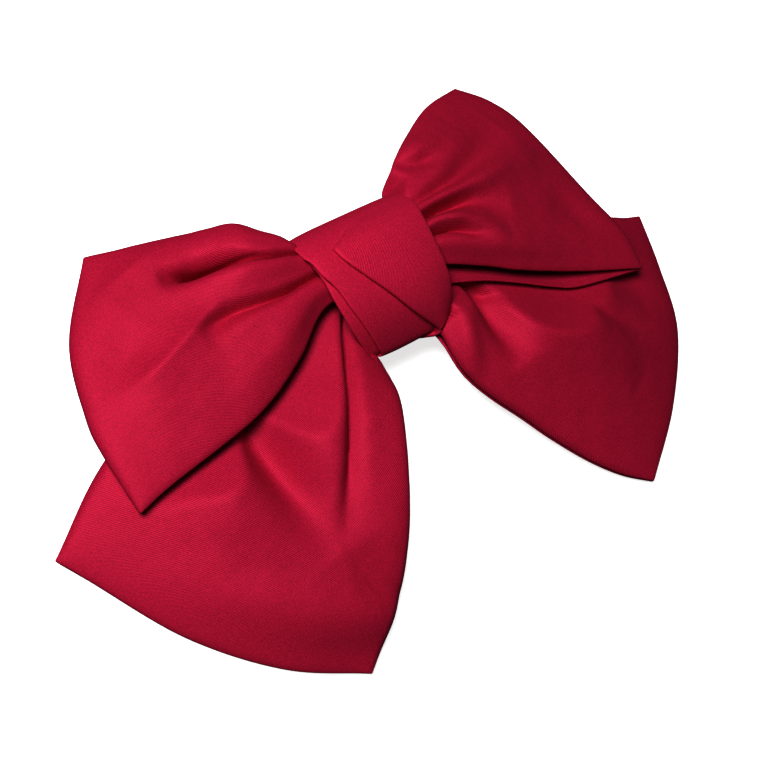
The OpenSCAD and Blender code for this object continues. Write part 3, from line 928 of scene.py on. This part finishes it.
def speckled(name, light, dark, scale, roughness, bump_height):
    """A material mottled by one noise, in colour, roughness and height. Gives its shader too."""
    material, tree, shader = new_material(name)
    mottle = noise(tree, scale, 6.0)
    colour = blended(tree, mottle, 0.35, dark, 0.65, light)
    tree.links.new(colour, shader.inputs["Base Color"])
    tree.links.new(between(tree, mottle, *roughness), shader.inputs["Roughness"])
    add_bump(tree, shader, mottle, 0.4, bump_height * MM)
    return material, shader


def metal(name, colour, scale, roughness):
    dark = [c * 0.7 for c in colour]
    material, shader = speckled(name, colour, dark, scale, roughness, 0.01)
    shader.inputs["Metallic"].default_value = 1.0
    return material


def felt(name):
    light = (0.12, 0.002, 0.012)
    dark = (0.05, 0.001, 0.006)
    material, shader = speckled(name, light, dark, 1500.0, (0.9, 1.0), 0.15)
    set_inputs(shader, {"Sheen Weight": 0.25, "Sheen Roughness": 0.6})
    return material


def sewing_thread(name):
    light = (0.24, 0.004, 0.02)
    dark = (0.10, 0.001, 0.008)
    material, shader = speckled(name, light, dark, 2400.0, (0.45, 0.7), 0.05)
    shader.inputs["Sheen Weight"].default_value = 0.1
    return material


# ---------------------------------------------------------------- room and light

# Lengths here are in metres.
ROOM_HALF_WIDTH = 1.5
ROOM_HEIGHT = 2.4
KEY_PLACE = (-0.25, 0.16, 0.53)
KEY_AIM = (0, 0, 0.01)
KEY_SIZE = 0.26
KEY_POWER = 4.0
WORLD_STRENGTH = 0.05
DISPLAY_GAMMA = 0.65


def pale_material():
    material, tree, shader = new_material("pale room")
    set_inputs(shader, {
        "Base Color": (0.9, 0.9, 0.9, 1),
        "Roughness": 0.9,
        "Emission Color": (1, 1, 1, 1),
        "Emission Strength": 0.8,
    })
    return material


def make_room():
    """A pale floor, and pale walls far behind the bow. Neither lights the bow or shows in it."""
    half = ROOM_HALF_WIDTH
    low = [(-half, -half, 0), (half, -half, 0), (half, half, 0), (-half, half, 0)]
    high = [(x, y, ROOM_HEIGHT) for x, y, z in low]
    walls = [(i, (i + 1) % 4, (i + 1) % 4 + 4, i + 4) for i in range(4)]
    walls.append((4, 5, 6, 7))
    material = pale_material()
    for name, faces in (("floor", [(0, 1, 2, 3)]), ("walls", walls)):
        mesh = bpy.data.meshes.new(name)
        mesh.from_pydata(low + high, [], faces)
        mesh.materials.append(material)
        part = bpy.data.objects.new(name, mesh)
        bpy.context.scene.collection.objects.link(part)
        part.visible_diffuse = False
        part.visible_glossy = False


def make_light():
    """One soft light from the left, a faint world, and the display's contrast."""
    data = bpy.data.lights.new("key", "AREA")
    data.size = KEY_SIZE
    data.energy = KEY_POWER
    light = bpy.data.objects.new("key", data)
    light.location = KEY_PLACE
    aim = Vector(KEY_AIM) - Vector(KEY_PLACE)
    light.rotation_euler = aim.to_track_quat("-Z", "Y").to_euler()
    bpy.context.scene.collection.objects.link(light)
    world = bpy.data.worlds.new("room")
    world.use_nodes = True
    background = world.node_tree.nodes["Background"]
    set_inputs(background, {"Color": (1, 1, 1, 1), "Strength": WORLD_STRENGTH})
    bpy.context.scene.world = world
    bpy.context.scene.view_settings.view_transform = "Standard"
    bpy.context.scene.view_settings.gamma = DISPLAY_GAMMA


# ---------------------------------------------------------------- build


def add(piece, node, material):
    """Shows piece for a CAD node, on the bow's body."""
    piece.data.materials.append(material)
    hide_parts(node)
    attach(piece, "bow")
    return piece


def add_fabric():
    left = stack(LEFT_LOOP, LEFT_TAIL)
    right = stack(RIGHT_LOOP, RIGHT_TAIL)
    upper = band("upper_loops", *left[:2], *right[:2])
    tails = band("tail_loops", *left[2:], *right[2:])
    strip = knot_wrap()
    add(upper, "upper_bow", satin("loop satin", CRIMSON, CRIMSON_SHADE))
    add(tails, "tail_bow", satin("tail satin", CRIMSON, CRIMSON_SHADE))
    # the knot gets the same satin painted lighter, as painted light
    add(strip, "knot_wrap", satin("wrap satin painted lighter", LIT_WRAP_CRIMSON, LIT_WRAP_SHADE))


def add_threads_and_felt():
    thread = sewing_thread("sewing thread")
    add(gather_thread(), "gather_thread", thread)
    add(knot_stitches(), "knot_stitches", thread)
    add(tack_stitches(), "tack_stitches", thread)
    add(backing_pad(), "backing_pad", felt("felt"))


def dress_metal():
    """Gives the barrette's CAD parts their materials."""
    plated = metal("nickel plate", (0.72, 0.72, 0.73), 240.0, (0.16, 0.42))
    sprung = metal("spring steel", (0.60, 0.61, 0.63), 520.0, (0.10, 0.30))
    riveted = metal("rivet steel", (0.66, 0.66, 0.67), 900.0, (0.25, 0.50))
    groups = (
        ("plated_steel", plated, ("base_plate", "clasp_arm")),
        ("spring_steel", sprung,
         ("tension_spring", "latch_web", "latch_finger_front", "latch_finger_rear")),
        ("rivet_steel", riveted, ("latch_rivet", "hinge_pin")),
    )
    for slot, material, names in groups:
        for name in names:
            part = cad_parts[name]
            part.data.materials.clear()
            part.data.materials.append(material)


make_camera()
make_room()
make_light()
add_fabric()
add_threads_and_felt()
dress_metal()
